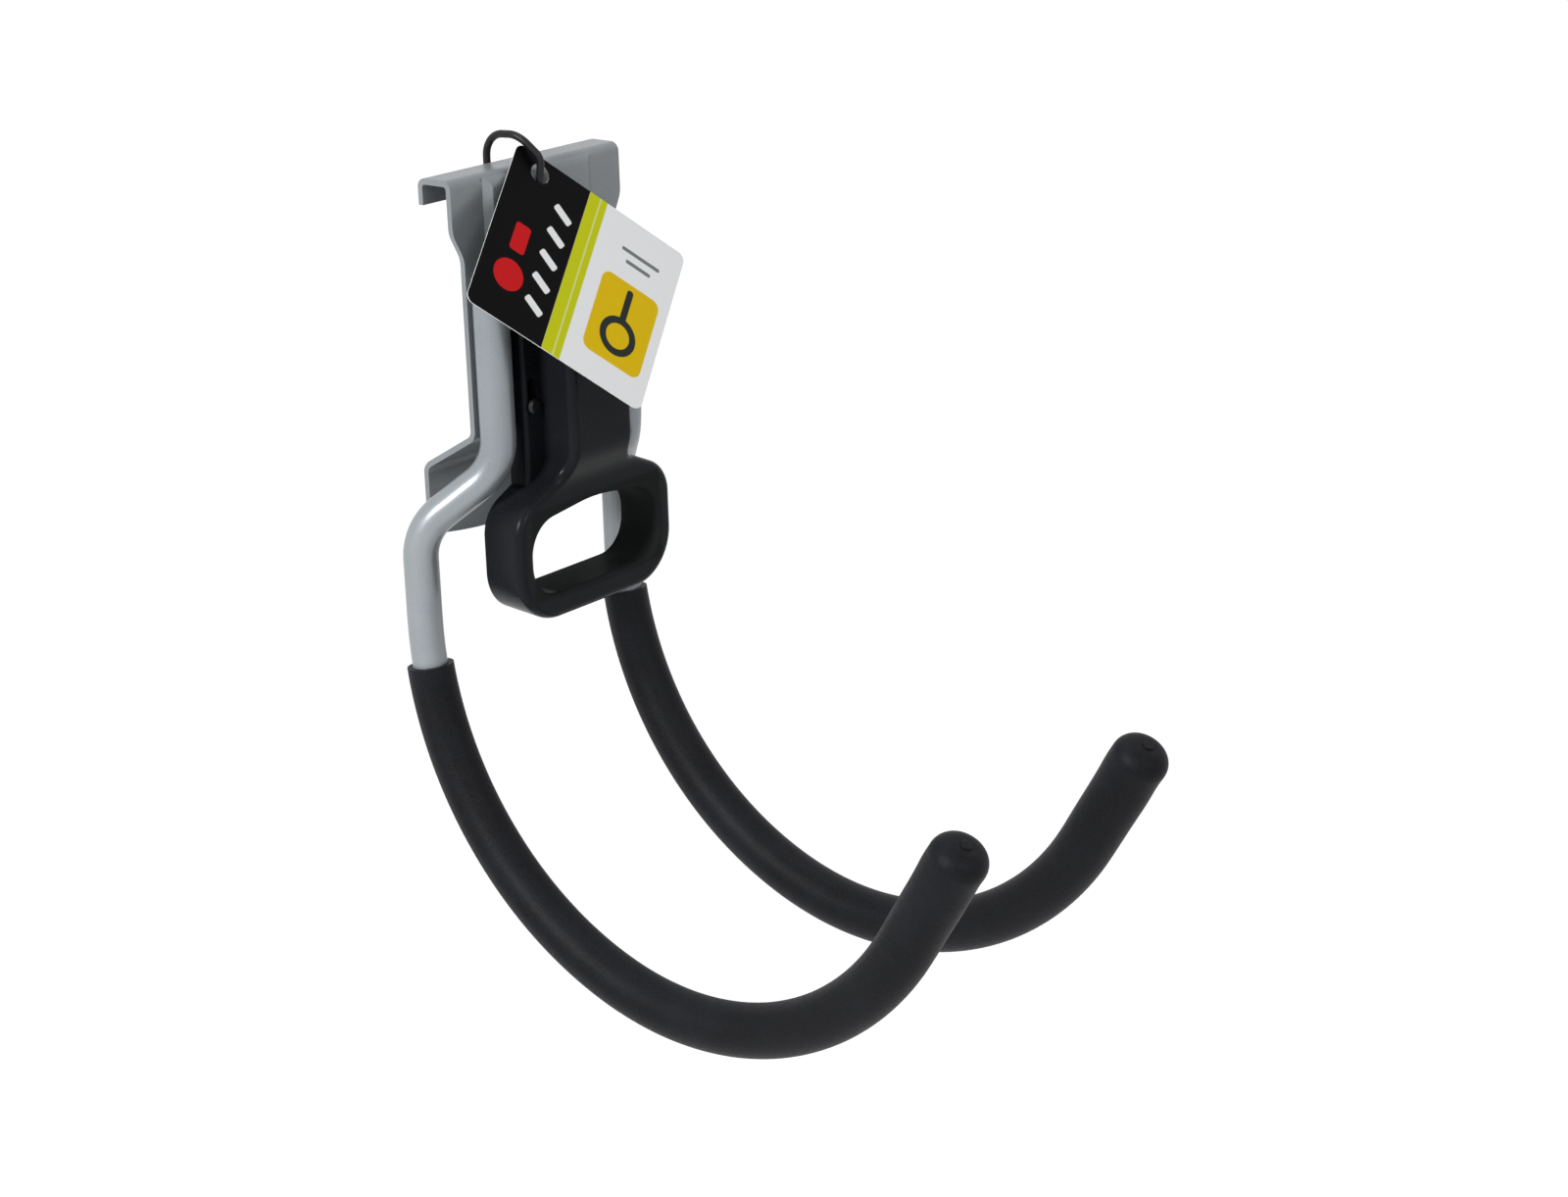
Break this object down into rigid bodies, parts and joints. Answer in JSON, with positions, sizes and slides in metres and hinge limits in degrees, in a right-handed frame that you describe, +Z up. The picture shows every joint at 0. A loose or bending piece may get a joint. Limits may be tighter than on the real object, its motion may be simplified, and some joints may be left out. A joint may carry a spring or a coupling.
{
  "type": "utility hook",
  "caption": "Wall-rail utility hook: stamped steel backplate with a rail flange, two bent rods with black foam grips, a sprung pull-down latch and a hang tag",
  "frame": {"origin": "middle of the underside of the top flange, where the hook hangs on the rail's upper lip", "axes": "+X right along the rail, -Y forward away from the wall, +Z up"},
  "size_m": [0.1185, 0.2397, 0.2857],
  "materials": {
    "plate": "satin silver-grey powder coat",
    "rod": "satin silver powder coat",
    "weld": "weld bead under silver coat",
    "foam": "dipped foam, matte",
    "rivet": "zinc-plated steel",
    "latch": "black moulded plastic, semi-gloss",
    "spring": "spring wire",
    "loop": "black moulded plastic",
    "card": "printed card, lightly coated"
  },
  "bodies": {
    "hook": {"backplate": "plate", "rod_arm_left": "rod", "rod_arm_right": "rod", "weld_beads": "weld", "grip_left": "foam", "grip_right": "foam", "guide_rivets": "rivet", "tag_loop": "loop", "latch_spring": "spring"},
    "slider": {"latch": "latch"},
    "tag": {"hang_tag": "card"}
  },
  "joints": [
    {"name": "latch_slide", "type": "slide", "parent": "hook", "child": "slider", "axis": [0, 0, -1], "range_m": [0, 0.008], "stiffness_N_per_m": 900, "springref_m": -0.004, "deforming": ["latch_spring"]},
    {"name": "tag_swing", "type": "hinge", "parent": "hook", "child": "tag", "pos_m": [-0.00356, -0.01142, -0.0006], "axis": [-1, 0, 0], "range_deg": [0, 25]}
  ]
}
